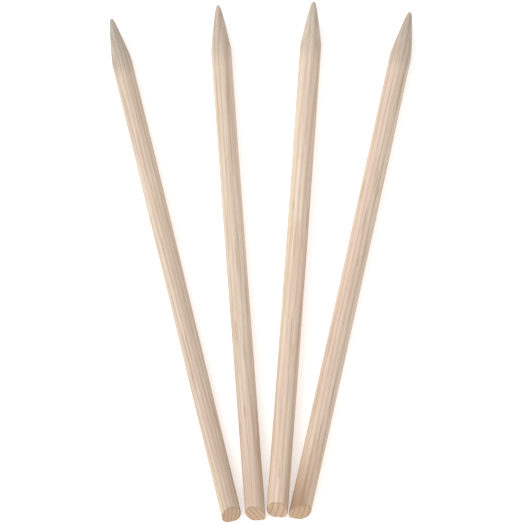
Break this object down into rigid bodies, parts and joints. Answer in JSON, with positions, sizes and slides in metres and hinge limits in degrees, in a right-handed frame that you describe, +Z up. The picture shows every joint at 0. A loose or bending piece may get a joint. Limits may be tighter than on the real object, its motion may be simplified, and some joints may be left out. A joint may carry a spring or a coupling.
{
  "type": "cuticle pusher",
  "caption": "Round wooden cuticle sticks laid out as a fan, each with a point for cleaning and a bevelled end for pushing cuticles back.",
  "frame": {"origin": "on the surface that the sticks lie on, under the middle of the fan", "axes": "+Z up; +Y from the bevelled ends to the points, along the middle of the fan; +X to the right across the fan"},
  "size_m": [0.0666, 0.115, 0.0048],
  "materials": {
    "birch_wood": "fine sanded, unvarnished"
  },
  "bodies": {
    "left_outer": {"left_outer_stick": "birch_wood"},
    "left_inner": {"left_inner_stick": "birch_wood"},
    "right_inner": {"right_inner_stick": "birch_wood"},
    "right_outer": {"right_outer_stick": "birch_wood"}
  },
  "joints": [
    {"name": "lift_left_inner", "type": "slide", "parent": "left_outer", "child": "left_inner", "axis": [0, 0, 1], "range_m": [0, 0.03]},
    {"name": "lift_right_inner", "type": "slide", "parent": "left_outer", "child": "right_inner", "axis": [0, 0, 1], "range_m": [0, 0.03]},
    {"name": "lift_right_outer", "type": "slide", "parent": "left_outer", "child": "right_outer", "axis": [0, 0, 1], "range_m": [0, 0.03]}
  ]
}
